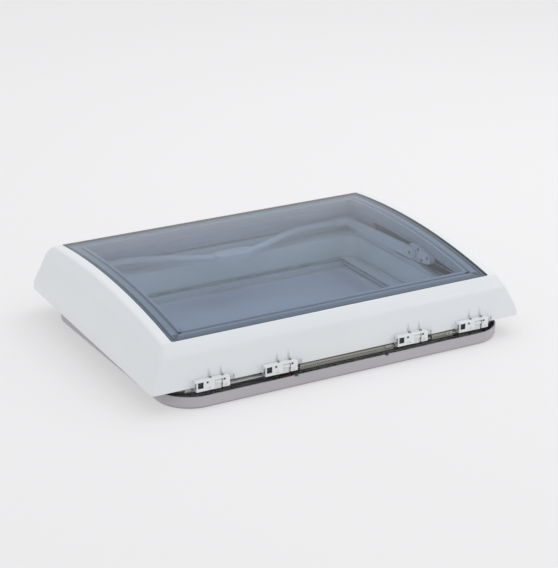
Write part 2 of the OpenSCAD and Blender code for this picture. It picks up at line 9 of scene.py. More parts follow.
import bmesh
import bpy
import numpy as np
from mathutils import Matrix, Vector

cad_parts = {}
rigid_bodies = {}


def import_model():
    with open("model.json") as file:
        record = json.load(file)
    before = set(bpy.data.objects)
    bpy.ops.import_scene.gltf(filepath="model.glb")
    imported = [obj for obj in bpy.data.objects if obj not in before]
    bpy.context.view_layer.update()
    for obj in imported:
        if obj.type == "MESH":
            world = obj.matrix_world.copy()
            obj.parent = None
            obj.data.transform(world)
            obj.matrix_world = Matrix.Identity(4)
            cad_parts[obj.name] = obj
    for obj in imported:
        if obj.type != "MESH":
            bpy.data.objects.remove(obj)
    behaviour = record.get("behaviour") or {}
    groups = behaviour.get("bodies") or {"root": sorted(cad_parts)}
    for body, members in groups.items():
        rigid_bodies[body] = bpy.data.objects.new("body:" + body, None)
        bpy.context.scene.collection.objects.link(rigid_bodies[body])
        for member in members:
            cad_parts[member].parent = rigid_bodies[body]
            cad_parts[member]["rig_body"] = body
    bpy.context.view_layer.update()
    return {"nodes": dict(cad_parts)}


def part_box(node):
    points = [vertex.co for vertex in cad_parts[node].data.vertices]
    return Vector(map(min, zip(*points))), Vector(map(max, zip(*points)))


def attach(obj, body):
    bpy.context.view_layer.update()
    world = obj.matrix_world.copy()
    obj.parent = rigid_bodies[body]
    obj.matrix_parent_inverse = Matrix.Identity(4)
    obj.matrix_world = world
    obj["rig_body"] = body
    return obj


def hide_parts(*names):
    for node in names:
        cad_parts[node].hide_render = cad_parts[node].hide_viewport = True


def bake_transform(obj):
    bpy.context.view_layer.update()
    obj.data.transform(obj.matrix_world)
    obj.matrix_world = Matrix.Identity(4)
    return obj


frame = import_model()
MM = 0.001


# ------------------------------------------------------------------ camera, light and floor
def look_from(azimuth, elevation):
    """Right, up and back of a camera turned azimuth degrees round Z and raised by elevation degrees."""
    a, e = math.radians(azimuth), math.radians(elevation)
    back = np.array([math.sin(a) * math.cos(e), -math.cos(a) * math.cos(e), math.sin(e)])
    right = np.array([math.cos(a), math.sin(a), 0.0])
    return right, np.cross(back, right), back


def add_camera():
    """The camera stands 3.79 m away, a little to the left of the hinge side, and looks down on the pane."""
    azimuth, elevation, distance = -29.3, 21.0, 3786.2
    aim_height, aim_right, aim_up = 60.0, 7.0, 31.7
    focal_over_frame = 3.1375
    right, up, back = look_from(azimuth, elevation)
    place = np.array([0, 0, aim_height]) + right * aim_right + up * aim_up + back * distance
    data = bpy.data.cameras.new("view")
    data.sensor_width = 36.0
    data.lens = focal_over_frame * data.sensor_width
    data.clip_start, data.clip_end = 0.1, 100.0
    camera = bpy.data.objects.new("view", data)
    turn = np.eye(4)
    turn[:3, 0], turn[:3, 1], turn[:3, 2], turn[:3, 3] = right, up, back, place * MM
    camera.matrix_world = Matrix(turn.tolist())
    bpy.context.scene.collection.objects.link(camera)
    bpy.context.scene.camera = camera


def add_light(name, place, aim, size, power, mirrored=True):
    """A soft rectangular lamp at place, in metres, that faces aim. It shows in glossy faces if mirrored."""
    data = bpy.data.lights.new(name, "AREA")
    data.shape = "RECTANGLE"
    data.size, data.size_y = size
    data.energy = power
    lamp = bpy.data.objects.new(name, data)
    back = np.array(place, float) - np.array(aim, float)
    back /= np.linalg.norm(back)
    right = np.cross([0, 0, 1], back)
    right = right / np.linalg.norm(right)
    turn = np.eye(4)
    turn[:3, 0], turn[:3, 1], turn[:3, 2], turn[:3, 3] = right, np.cross(back, right), back, place
    lamp.matrix_world = Matrix(turn.tolist())
    lamp.visible_glossy = mirrored
    bpy.context.scene.collection.objects.link(lamp)


add_camera()


# ------------------------------------------------------------------ shader maths
class Value:
    """A socket that Python expressions can add, subtract, multiply and raise to a power."""

    def __init__(self, finish, socket):
        self.finish, self.socket = finish, socket

    def _math(self, operation, *terms):
        return self.finish.node("ShaderNodeMath", {"operation": operation}, dict(enumerate(terms)))

    def __add__(self, other):
        return self._math("ADD", self, other)

    def __radd__(self, other):
        return self._math("ADD", other, self)

    def __sub__(self, other):
        return self._math("SUBTRACT", self, other)

    def __rsub__(self, other):
        return self._math("SUBTRACT", other, self)

    def __mul__(self, other):
        return self._math("MULTIPLY", self, other)

    def __rmul__(self, other):
        return self._math("MULTIPLY", other, self)

    def __pow__(self, other):
        return self._math("POWER", self, other)

    def step(self, low, high):
        """0 below low, 1 above high, smooth between."""
        inputs = {"Value": self, "From Min": low, "From Max": high}
        return self.finish.node("ShaderNodeMapRange", {"interpolation_type": "SMOOTHSTEP"}, inputs)

    def wave(self, pitch):
        """Sine of this value with the given pitch, from 0 to 1."""
        return self._math("SINE", self * (2 * math.pi / pitch)) * 0.5 + 0.5

    def size(self):
        """This value without its sign."""
        return self._math("ABSOLUTE", self)

    def above(self, level):
        """1 where this value is above level, and 0 elsewhere."""
        return self._math("GREATER_THAN", self, level)


class Finish:
    """A material that is being put together. slot is the record's material slot that it belongs to."""

    def __init__(self, name, slot):
        self.slot = slot
        self.material = bpy.data.materials.new(name)
        self.material.use_nodes = True
        self.tree = self.material.node_tree
        self.tree.nodes.clear()
        self.output = self.tree.nodes.new("ShaderNodeOutputMaterial")

    def node(self, kind, settings=None, inputs=None, out=0):
        """Adds a node with its settings, then its inputs, by name or number, and returns one output."""
        made = self.tree.nodes.new(kind)
        for key, value in (settings or {}).items():
            setattr(made, key, value)
        for key, value in (inputs or {}).items():
            if isinstance(value, Value):
                self.tree.links.new(value.socket, made.inputs[key])
            else:
                made.inputs[key].default_value = value
        return Value(self, made.outputs[out])

    def place(self):
        """The point in the piece's own space, in metres."""
        return self.node("ShaderNodeTexCoord", out=3)

    def axes(self):
        """x, y and z of the point as three values."""
        split = self.node("ShaderNodeSeparateXYZ", inputs={0: self.place()}).socket.node
        return [Value(self, split.outputs[k]) for k in range(3)]

    def noise(self, scale, detail=3.0, rough=0.5, stretch=None):
        """Fractal noise of the given scale, per metre, drawn out along an axis by stretch."""
        place = self.place()
        if stretch:
            place = self.node("ShaderNodeMapping", inputs={"Vector": place, "Scale": stretch})
        inputs = {"Vector": place, "Scale": scale, "Detail": detail, "Roughness": rough}
        return self.node("ShaderNodeTexNoise", inputs=inputs)

    def blend(self, share, first, second):
        """Colour between two colours: the first at share 0 and the second at share 1."""
        made = self.tree.nodes.new("ShaderNodeMix")
        made.data_type = "RGBA"
        for socket, value in ((made.inputs[0], share), (made.inputs[6], first), (made.inputs[7], second)):
            if isinstance(value, Value):
                self.tree.links.new(value.socket, socket)
            else:
                socket.default_value = value if isinstance(value, (int, float)) else (*value, 1.0)
        return Value(self, made.outputs[2])

    def bump(self, height, strength, depth):
        """A normal that is tilted by the height's slope; depth is the height's size in metres."""
        inputs = {"Height": height, "Strength": strength, "Distance": depth}
        return self.node("ShaderNodeBump", inputs=inputs)

    def stored_tone(self):
        """The piece's own attribute tone, from 0 to 1."""
        return self.node("ShaderNodeAttribute", {"attribute_name": "tone"}, out=2)

    def surface(self, shader):
        """Joins the shader to the material's output."""
        self.tree.links.new(shader.socket, self.output.inputs["Surface"])
        return self

    def plastic(self, colour, roughness, **more):
        """The usual shader: colour and roughness may vary, and more sets its other sockets."""
        names = dict(metallic="Metallic", normal="Normal", ior="IOR", sheen="Sheen Weight", alpha="Alpha")
        inputs = {"Base Color": colour, "Roughness": roughness}
        inputs.update({names[k]: v for k, v in more.items()})
        return self.surface(self.node("ShaderNodeBsdfPrincipled", inputs=inputs))


SKIN = 0.00004  # height of a moulded part's skin texture, in metres


def moulded_white(name, slot, tone, gloss):
    """Injection-moulded white plastic: a faint cloudiness in colour and gloss, and a fine skin texture."""
    f = Finish(name, slot)
    cloud = f.noise(9.0, 4.0)
    fine = f.noise(900.0, 2.0)
    colour = f.blend(cloud.step(0.3, 0.7), [t - 0.012 for t in tone], tone)
    rough = gloss + (cloud - 0.5) * 0.06 + (fine - 0.5) * 0.04
    return f.plastic(colour, rough, normal=f.bump(fine, 0.25, SKIN), ior=1.5)


def tray_white():
    """Matt white of the tray, with painted shade: bright in the well, a darker grey painted shade on the
    outside, deepest along its lowest edge. The change lies 7 to 16 mm outside the edge of the opening, which
    is 0.70 m by 0.50 m."""
    f = Finish("tray_white", "tray_white")
    x, y, z = f.axes()
    cloud = f.noise(9.0, 4.0)
    mottle = cloud.step(0.3, 0.7)
    outer = 1 - (1 - x.size().step(0.357, 0.366)) * (1 - y.size().step(0.257, 0.266))
    inner_tone = f.blend(mottle, (0.80, 0.815, 0.80), (0.82, 0.835, 0.82))
    # Outside the opening the tray gets a darker grey painted shade.
    painted_shade_tone = f.blend(mottle, (0.435, 0.420, 0.44), (0.455, 0.44, 0.46))
    # Along its lowest edge the outside darkens further: painted shade where the tray meets the floor.
    painted_shade_tone = f.blend(z.step(0.002, 0.007), (0.25, 0.25, 0.26), painted_shade_tone)
    colour = f.blend(outer, inner_tone, painted_shade_tone)
    rough = 0.32 + (cloud - 0.5) * 0.06
    return f.plastic(colour, rough, normal=f.bump(f.noise(900.0), 0.25, SKIN))


def pocket_shaded(name, slot, tone, dark, rough, metallic=0.0):
    """A moulded part whose colour goes from tone to dark, a painted pocket shade, where the attribute tone
    goes from 0 to 1.
    """
    f = Finish(name, slot)
    cloud = f.noise(30.0, 4.0)
    fine = f.noise(900.0, 2.0)
    body = f.blend(cloud.step(0.3, 0.7), [t * 0.96 for t in tone], tone)
    # Painted shade in the pockets.
    colour = f.blend(f.stored_tone() ** 0.6, body, dark)
    rough = rough + (cloud - 0.5) * 0.06
    return f.plastic(colour, rough, normal=f.bump(fine, 0.25, SKIN), metallic=metallic)


def shaded_liner(name, tone, low, high):
    """Liner plastic with three marks of painted shade. A near-black band on both side walls, from the height
    low up to high over the pane's arc, is painted shade of the deep gap between liner and frame. Two runs of
    small air holes lie on the rear wall, 14.5 mm apart, drawn as spots of painted shade. A band of painted
    shade behind the vent strip shows through its slots."""
    f = Finish(name, "liner_white")
    x, y, z = f.axes()
    cloud = f.noise(20.0, 4.0)
    body = f.blend(cloud.step(0.3, 0.7), [t * 0.975 for t in tone], tone)

    arc = (CROWN_Z - BEND) * MM + ((BEND * MM) ** 2 - (y - CROWN_Y * MM) ** 2) ** 0.5
    upright = z.step(low, low + 0.001) * (1 - (z - arc).step(high - 0.001, high))
    along = y.step(-0.172, -0.166) * (1 - y.step(0.17, 0.19))
    # Painted shade of the deep gap between the hood liner and the frame's lip, drawn as a near-black band on
    # both sides.
    strip = x.size().step(0.3478, 0.3488) * upright * along
    gap_shade = f.blend(f.noise(700.0), (0.03, 0.028, 0.027), (0.07, 0.065, 0.062))

    # Painted shade of small air holes, drawn as dark spots in two runs.
    row = (1 - (z - 0.1045).size().above(0.0014)) * y.above(0.25)
    left_run = x.above(-0.1) * (1 - x.above(-0.01))
    right_run = x.above(0.086) * (1 - x.above(0.188))
    hole_shade = row * x.wave(0.0145).above(0.88) * (left_run + right_run)
    # Painted shade on the wall behind the vent strip, seen through its slots.
    vent_slot_shade = y.above(0.2) * z.above(0.0165) * (1 - z.above(0.0218)) * (1 - x.size().above(0.299))
    shaded_body = f.blend(hole_shade + vent_slot_shade, body, (0.03, 0.03, 0.035))
    return f.plastic(f.blend(strip, shaded_body, gap_shade), 0.4 + strip * 0.3)


def hood_white():
    """Glossy cap-stocked plastic of the hood, with the faint waviness of a large moulding."""
    f = Finish("hood_white", "white_gloss")
    cloud = f.noise(5.0, 3.0)
    fine = f.noise(650.0, 2.0)
    colour = f.blend(cloud.step(0.3, 0.7), (0.770, 0.790, 0.808), (0.785, 0.805, 0.823))
    rough = 0.17 + (cloud - 0.5) * 0.05
    wavy = cloud * 0.6 + fine * 0.02
    return f.plastic(colour, rough, normal=f.bump(wavy, 0.10, 0.0006), ior=1.5)


def sheet_glass(name, slot, tint, rough, scuffs):
    """Acrylic sheet: what passes takes the tint at each face; the rest mirrors, more so at a low angle."""
    f = Finish(name, slot)
    worn = rough + f.noise(60.0, 5.0, 0.6).step(0.45, 0.8) * scuffs
    through = f.node("ShaderNodeBsdfTransparent", inputs={"Color": (*tint, 1.0)})
    mirror = f.node("ShaderNodeBsdfAnisotropic", inputs={"Color": (1, 1, 1, 1), "Roughness": worn})
    back_side = f.node("ShaderNodeNewGeometry", out=6)
    share = f.node("ShaderNodeFresnel", inputs={"IOR": 1.49}) * (1 - back_side)
    return f.surface(f.node("ShaderNodeMixShader", inputs={0: share, 1: through, 2: mirror}))


def rubber(name, slot, tone):
    """Moulded rubber with a dusty bloom and a fine pitted skin."""
    f = Finish(name, slot)
    dust = f.noise(40.0, 5.0, 0.65)
    pits = f.noise(1500.0, 2.0)
    dusty = (tone * 1.7, tone * 1.68, tone * 1.6)
    colour = f.blend(dust.step(0.4, 0.75), (tone, tone, tone * 0.98), dusty)
    return f.plastic(colour, 0.62 + (dust - 0.5) * 0.2, normal=f.bump(pits, 0.5, 0.0001))


def rolled_metal(name, slot, tone, rough, streak):
    """Rolled or drawn metal with streaks along X; streak is how far they change the roughness."""
    f = Finish(name, slot)
    lines = f.noise(14.0, 4.0, 0.6, stretch=(1.0, 60.0, 60.0))
    colour = f.blend(lines.step(0.3, 0.7), [t * 0.8 for t in tone], tone)
    rough = rough + (lines - 0.5) * streak
    return f.plastic(colour, rough, metallic=0.85, normal=f.bump(lines, 0.2, 0.00005))


def pleated_cloth():
    """Blackout cloth: a close weave with a pale metallised face."""
    f = Finish("blackout_cloth", "blackout_cloth")
    x, y, z = f.axes()
    weave = x.wave(0.0011) * 0.5 + (y + z).wave(0.0011) * 0.5
    colour = f.blend(weave, (0.50, 0.54, 0.58), (0.66, 0.70, 0.73))
    return f.plastic(colour, 0.45 + weave * 0.2, sheen=0.3, normal=f.bump(weave, 0.3, 0.0001))


def insect_mesh():
    """Fly screen: black threads 1.4 mm apart, with open squares between them."""
    f = Finish("insect_mesh", "screen_mesh")
    x, y, z = f.axes()
    threads = 1 - x.wave(0.0014).above(0.32) * (y * 1.4 + z).wave(0.0014).above(0.32)
    shade = f.blend(f.noise(300.0), (0.03, 0.03, 0.03), (0.07, 0.07, 0.07))
    return f.plastic(shade, 0.6, alpha=threads)


def bond_line():
    """Adhesive under the pane's rim: dark to pale by the attribute tone, with a little unevenness."""
    f = Finish("bond_line", "dark_gasket")
    share = f.stored_tone() + (f.noise(70.0, 4.0) - 0.5) * 0.12
    colour = f.blend(share, (0.045, 0.05, 0.055), (0.52, 0.58, 0.60))
    return f.plastic(colour, 0.55 + f.noise(300.0) * 0.1)


def circuit_board():
    """Green solder mask with paler copper runs under it."""
    f = Finish("circuit_board", "board_green")
    x, y, _ = f.axes()
    runs = (x.wave(0.0052).above(0.72) + (y + x * 0.2).wave(0.0037).above(0.82)).step(0.2, 0.9)
    colour = f.blend(runs, (0.030, 0.150, 0.090), (0.10, 0.30, 0.19))
    return f.plastic(colour, 0.32 + f.noise(200.0) * 0.1, normal=f.bump(runs, 0.4, 0.0001))


def coloured_plastic(name, slot, low, high, rough):
    """A plain coloured part with a cloudy tone between two colours."""
    f = Finish(name, slot)
    cloud = f.noise(30.0, 4.0)
    colour = f.blend(cloud.step(0.3, 0.7), low, high)
    return f.plastic(colour, rough + (cloud - 0.5) * 0.1, normal=f.bump(f.noise(800.0), 0.2, 0.00005))


HOOD = hood_white()
# The darker colour given to BRACKET, RAIL and VENT is painted shade for their pockets.
BRACKET = pocket_shaded("bracket_white", "white_gloss", (0.79, 0.81, 0.825), (0.02, 0.02, 0.022), 0.28)
LINER = moulded_white("liner_white", "liner_white", (0.79, 0.815, 0.815), 0.36)
TRAY = tray_white()
TINT = sheet_glass("tinted_acrylic", "tinted_acrylic", (0.580, 0.640, 0.735), 0.02, 0.02)
CLEAR = sheet_glass("clear_acrylic", "clear_acrylic", (0.972, 0.985, 0.982), 0.02, 0.02)
SEAL = rubber("seal_rubber", "seal_rubber", 0.035)
SPACER = moulded_white("spacer_grey", "spacer_grey", (0.50, 0.53, 0.55), 0.5)
RAIL = pocket_shaded("grey_rail", "grey_rail", (0.36, 0.35, 0.31), (0.10, 0.10, 0.09), 0.42, metallic=0.3)
VENT = pocket_shaded("vent_grey", "liner_white", (0.55, 0.60, 0.56), (0.03, 0.04, 0.035), 0.45)
SOFT_SEAL = rubber("lip_seal_rubber", "seal_rubber", 0.42)
ALLOY = rolled_metal("grey_alloy", "grey_rail", (0.46, 0.46, 0.44), 0.42, 0.2)
STEEL = rolled_metal("pin_steel", "pin_steel", (0.55, 0.55, 0.55), 0.3, 0.15)
SCREW = rolled_metal("screw_steel", "screw_steel", (0.30, 0.30, 0.31), 0.35, 0.1)
CLOTH = pleated_cloth()
MESH = insect_mesh()
BOARD = circuit_board()
BOND = bond_line()
TERMINAL = coloured_plastic("terminal_red", "terminal_red", (0.06, 0.018, 0.014), (0.10, 0.03, 0.022), 0.35)
BUTTON = coloured_plastic("button_grey", "button_grey", (0.30, 0.33, 0.35), (0.36, 0.39, 0.41), 0.4)


# ------------------------------------------------------------------ mesh making
def mesh_piece(name, points, faces, finish, body, replaces=(), smooth=True):
    """A piece from points in millimetres and faces, with its finish, body and the nodes it stands for."""
    mesh = bpy.data.meshes.new(name)
    mesh.from_pydata((np.asarray(points, float) * MM).tolist(), [], [list(map(int, f)) for f in faces])
    if smooth:
        mesh.polygons.foreach_set("use_smooth", np.ones(len(mesh.polygons), bool))
        mesh.set_sharp_from_angle(angle=math.radians(38))
    mesh.update()
    piece = bpy.data.objects.new(name, mesh)
    bpy.context.scene.collection.objects.link(piece)
    return dress(piece, finish, body, replaces)


def dress(piece, finish, body, replaces=()):
    """Gives a piece its material, hides the nodes it replaces and gives it its body if one is named."""
    piece.data.materials.clear()
    piece.data.materials.append(finish.material)
    if body:
        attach(piece, body)
    if replaces:
        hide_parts(*replaces)
    return piece


def softened(node, finish, width, segments=2):
    """The CAD node's shape, its loose triangles joined and its edges rounded by width, in millimetres."""
    source = frame["nodes"][node]
    shape = bmesh.new()
    shape.from_mesh(source.data)
    bmesh.ops.remove_doubles(shape, verts=shape.verts, dist=1e-6)
    bmesh.ops.dissolve_limit(shape, angle_limit=math.radians(0.5), verts=shape.verts, edges=shape.edges)
    mesh = bpy.data.meshes.new(node + "_moulded")
    shape.to_mesh(mesh)
    shape.free()
    mesh.polygons.foreach_set("use_smooth", np.ones(len(mesh.polygons), bool))
    piece = bpy.data.objects.new(node + "_moulded", mesh)
    bpy.context.scene.collection.objects.link(piece)
    if width:
        round_edges(piece, width, segments)
    else:
        mesh.set_sharp_from_angle(angle=math.radians(30))
    return dress(piece, finish, source["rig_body"], (node,))


def store_tone(piece, tone):
    """Keeps one number for each point of the piece as its attribute tone."""
    store = piece.data.attributes.new("tone", "FLOAT", "POINT")
    store.data.foreach_set("value", tone.ravel().astype(np.float32))


def paint_pocket_shade(piece, low, high):
    """Gives the points inside the box low to high, in millimetres, the tone 1, and 0 to the others, which
    marks where painted shade goes. So a pocket's floor is painted dark and its walls fade."""
    place = np.empty(len(piece.data.vertices) * 3)
    piece.data.vertices.foreach_get("co", place)
    place = place.reshape(-1, 3) / MM
    store_tone(piece, ((place > low) & (place < high)).all(1))


def round_edges(piece, width, segments):
    """Rounds every edge that is sharper than 32 degrees."""
    bevel = piece.modifiers.new("edges", "BEVEL")
    bevel.width = width * MM
    bevel.segments = segments
    bevel.limit_method = "ANGLE"
    bevel.angle_limit = math.radians(32)
    bevel.harden_normals = True


def grid_faces(rows, columns, wrap_rows=False, wrap_columns=True):
    """Quads over a grid of points that is stored row by row."""
    r = np.arange(rows if wrap_rows else rows - 1)
    c = np.arange(columns if wrap_columns else columns - 1)
    a, b = np.meshgrid(r, c, indexing="ij")
    here, down = a * columns, (a + 1) % rows * columns
    along = (b + 1) % columns
    return np.stack([here + b, here + along, down + along, down + b], -1).reshape(-1, 4)


def spline(table, counts):
    """Points along a Catmull-Rom curve through the table's rows; counts says how many start at each row."""
    rows = np.asarray(table, float)
    padded = np.vstack([2 * rows[0] - rows[1], rows, 2 * rows[-1] - rows[-2]])
    out = []
    for k, count in enumerate(counts):
        t = (np.arange(count) / count)[:, None]
        p0, p1, p2, p3 = padded[k : k + 4]
        bend = (2 * p0 - 5 * p1 + 4 * p2 - p3) * t**2
        twist = (3 * p1 - 3 * p2 + p3 - p0) * t**3
        out.append(0.5 * (2 * p1 + (p2 - p0) * t + bend + twist))
    return np.vstack(out + [rows[-1:]])


# ------------------------------------------------------------------ measures of the hood, from the frame
pane_low, pane_high = (np.array(c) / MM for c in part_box("outer_pane"))
hood_low, hood_high = (np.array(c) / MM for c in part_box("hood_shell"))
PANE_HALF, PANE_FRONT, PANE_REAR = pane_high[0], pane_low[1], pane_high[1]
CROWN_Y, CROWN_Z, BEND = 113.0, pane_high[2], 1734.0
FOOT_FRONT, FOOT_REAR, FOOT_LOW, FOOT_HIGH = hood_low[1], hood_high[1], hood_low[2], 57.0
FOOT_HALF_FRONT, FOOT_HALF_REAR = hood_high[0], 422.0
PANE_T, REBATE, WALL, LIP = 3.5, 24.5, 3.0, 1.8
HINGES = (-303.0, -153.0, 153.0, 303.0)
GROOVE_XS = (-1.0, 25.0)  # the two screwdriver grooves, right of each hinge
GROOVE_Y, GROOVE_R = -280.9, 3.0


def arch(y):
    """Height of the pane's outer face: an arc of radius BEND whose crown is at CROWN_Y."""
    return CROWN_Z - BEND + np.sqrt(BEND**2 - (y - CROWN_Y) ** 2)


def foot(y):
    """Height of the hood's lower edge: a straight rise from front to rear."""
    return FOOT_LOW + (FOOT_HIGH - FOOT_LOW) * (y - FOOT_FRONT) / (FOOT_REAR - FOOT_FRONT)


def front_stations():
    """Shares along the front edge, from 0 to 1, close together where the screwdriver grooves are."""
    coarse = np.linspace(0, 1, 72)
    grooves = [(h + dx + FOOT_HALF_FRONT) / (2 * FOOT_HALF_FRONT) for h in HINGES for dx in GROOVE_XS]
    fine = [g + np.linspace(-5.5, 5.5, 19) / (2 * FOOT_HALF_FRONT) for g in grooves]
    return np.unique(np.round(np.concatenate([coarse, *fine]), 6))


FRONT_SHARES = front_stations()


def outline(hf, hr, yf, yr, rf, rr):
    """Closed plan outline, counter-clockwise, from the half width, y and corner radius at the front
    (hf, yf, rf) and at the rear (hr, yr, rr). Straight stretches are evenly divided and corners are quarter
    circles. The front edge keeps its x where the stations are, so that grooves stay upright."""
    quarter = np.linspace(0, np.pi / 2, 11)
    across = np.linspace(0, 1, 61)[1:-1]
    along = np.linspace(1, -1, 25)[1:-1]
    x = (FRONT_SHARES * 2 - 1) * FOOT_HALF_FRONT
    x = x[np.abs(x) < FOOT_HALF_FRONT * 0.84]
    parts = [
        np.stack([x, np.full_like(x, yf)], -1),
        np.stack([hf - rf + rf * np.sin(quarter), yf + rf - rf * np.cos(quarter)], -1),
        np.stack([hf + (hr - hf) * across, yf + rf + (yr - rr - yf - rf) * across], -1),
        np.stack([hr - rr + rr * np.cos(quarter), yr - rr + rr * np.sin(quarter)], -1),
        np.stack([(hr - rr) * along, np.full_like(along, yr)], -1),
        np.stack([rr - hr - rr * np.sin(quarter), yr - rr + rr * np.cos(quarter)], -1),
        np.stack([-(hr + (hf - hr) * across), yr - rr + (yf + rf - yr + rr) * across], -1),
        np.stack([rf - hf - rf * np.cos(quarter), yf + rf - rf * np.sin(quarter)], -1),
    ]
    return np.vstack(parts)


def grown(side, front, rear, rf, rr):
    """The pane's outline, grown by an offset on its sides, front and rear."""
    return outline(PANE_HALF + side, PANE_HALF + side, PANE_FRONT - front, PANE_REAR + rear, rf, rr)


def level(plan, drop, share):
    """Lifts a plan outline: to drop under the pane's arc at share 0, and to the foot line at share 1."""
    z = (arch(plan[:, 1]) - drop) * (1 - share) + foot(plan[:, 1]) * share
    return np.column_stack([plan, z])


# Side, front and rear offset from the pane, front and rear corner radius, drop under the arc, and share of
# the way down to the foot line
HOOD_STEPS = [
    (LIP, LIP, LIP, 5, 3, 0, 0),
    (11, 2.3, 2.5, 5, 3, 0.3, 0),
    (20, 3.4, 4, 6, 3, 1, 0),
    (24.5, 6.5, 9, 7, 5, 3.8, 0),
    (27.5, 11.5, 17, 8.5, 10, 8.5, 0),
    (31.5, 16.5, 24.5, 9.5, 15.5, 14, 0),
    (35.5, 20.5, 29, 10, 20, 19.5, 0),
    (40, 22.5, 31.5, 11, 23, 23, 0.05),
    (48, 25.5, 36, 10, 25, 23, 0.3),
    (54.5, 28.5, 42, 9, 24, 23, 0.53),
    (59.2, 31.5, 48.5, 8, 23, 23, 0.77),
]


def hood_row(s):
    """The hood's outline at one step, with the steps' seven measures."""
    return level(grown(*s[:5]), s[5], s[6])


def foot_row(inset):
    """The hood's foot, moved inwards by inset, with corner radii of 7 at the front and 21 at the rear."""
    half_front, half_rear = FOOT_HALF_FRONT - inset, FOOT_HALF_REAR - inset
    plan = outline(half_front, half_rear, FOOT_FRONT + inset, FOOT_REAR - inset, 7 - inset, 21 - inset)
    return level(plan, 0, 1)


def groove(rows, radius):
    """Presses the screwdriver grooves into the front: inside an upright cylinder, above the hinge brackets,
    the face moves back to the cylinder's wall."""
    out = rows.copy()
    x, y, z = np.moveaxis(out, -1, 0)
    for hinge in HINGES:
        for dx in GROOVE_XS:
            off = x - hinge - dx
            wall = GROOVE_Y + np.sqrt(np.clip(radius**2 - off**2, 0, None))
            inside = (np.abs(off) < radius) & (y < wall) & (y < -250) & (z > 54.5)
            y[inside] = wall[inside]
    return out


def hood_piece():
    """One closed skin: the rebate, its step, a spline down the outside, the foot, and the inside back up."""
    top = PANE_T + 0.5
    steps = spline(HOOD_STEPS, [3, 4, 3, 4, 4, 4, 4, 6, 8, 10])
    outer = np.array([hood_row(s) for s in steps])
    foot_outer, foot_inner = foot_row(0), foot_row(WALL)
    share = (np.arange(1, 13) / 13)[:, None, None]
    skirt = outer[-1] * (1 - share) + foot_outer * share
    inner_steps = [np.array(s) - np.array([WALL, WALL, WALL, 0, 0, -1, 0]) for s in HOOD_STEPS[:4:-1]]
    inner_rows = np.array([hood_row(s) for s in spline(inner_steps, [8, 8, 6, 4, 3])])
    rise = foot_inner * (1 - share[::2]) + inner_rows[0] * share[::2]
    rows = [
        level(grown(-REBATE, -REBATE, -REBATE, 6, 6), top, 0)[None],
        level(grown(LIP, LIP, LIP, 5, 3), top, 0)[None],
        groove(np.concatenate([outer, skirt, foot_outer[None]]), GROOVE_R),
        groove(np.concatenate([foot_inner[None], rise, inner_rows]), GROOVE_R + WALL),
        level(grown(24.5, 9, 14, 8, 10), 11, 0)[None],
        level(grown(20, 4, 5, 7, 6), top + 2.5, 0)[None],
        level(grown(LIP + 1, LIP + 1, LIP + 1, 6, 6), top + WALL + 0.2, 0)[None],
        level(grown(-4, -4, -4, 6, 6), top + WALL, 0)[None],
        level(grown(-REBATE, -REBATE, -REBATE, 6, 6), top + WALL, 0)[None],
    ]
    grid = np.concatenate(rows)
    faces = grid_faces(len(grid), grid.shape[1], wrap_rows=True)
    return mesh_piece("hood_moulding", grid.reshape(-1, 3), faces, HOOD, "hood", ["hood_shell"])


def bond_piece():
    """The adhesive border under the pane's rim and its upstand at the pane's edge. The attribute tone is the
    colour's share from dark to light: at the sides a dark line, a pale one, a dark one and a wide pale band
    inwards; at the front and rear a dark line, a middle tone and a pale inner line."""
    insets = np.linspace(0.2, REBATE - 0.3, 50)
    under = PANE_T + 0.06
    step = 0.35
    upstand_out, upstand_in = grown(1.6, 1.6, 1.6, 5, 3), grown(0.1, 0.1, 0.1, 5, 3)
    last = 0.3 - REBATE
    rows = [
        level(upstand_out, under + step, 0),
        level(upstand_out, step, 0),
        level(upstand_in, step, 0),
        level(upstand_in, under, 0),
        *(level(grown(-i, -i, -i, 5, 4), under, 0) for i in insets),
        level(grown(last, last, last, 5, 4), under + step, 0),
    ]
    grid = np.array(rows)
    faces = grid_faces(len(grid), grid.shape[1], wrap_rows=True)
    piece = mesh_piece("pane_bond", grid.reshape(-1, 3), faces, BOND, "hood", ["pane_gasket"])
    depth = np.concatenate([[0, 0, 0, 0], insets, [REBATE]])
    side_depths = [0, 1.5, 3, 5.5, 7, 9, 11, 13, 22, 24.5]
    side_tones = np.interp(depth, side_depths, [0, 0, 0.55, 0.55, 0.1, 0.1, 0.8, 0.85, 0.8, 0.45])
    end_depths = [0, 3, 5, 18, 20, 23, 24.5]
    end_tones = np.interp(depth, end_depths, [0.0, 0.08, 0.42, 0.58, 0.9, 0.9, 0.4])
    x, y = grid[..., 0], grid[..., 1]
    at_side = (PANE_HALF - np.abs(x)) < np.minimum(y - PANE_FRONT, PANE_REAR - y)
    store_tone(piece, np.where(at_side, side_tones[:, None], end_tones[:, None]))


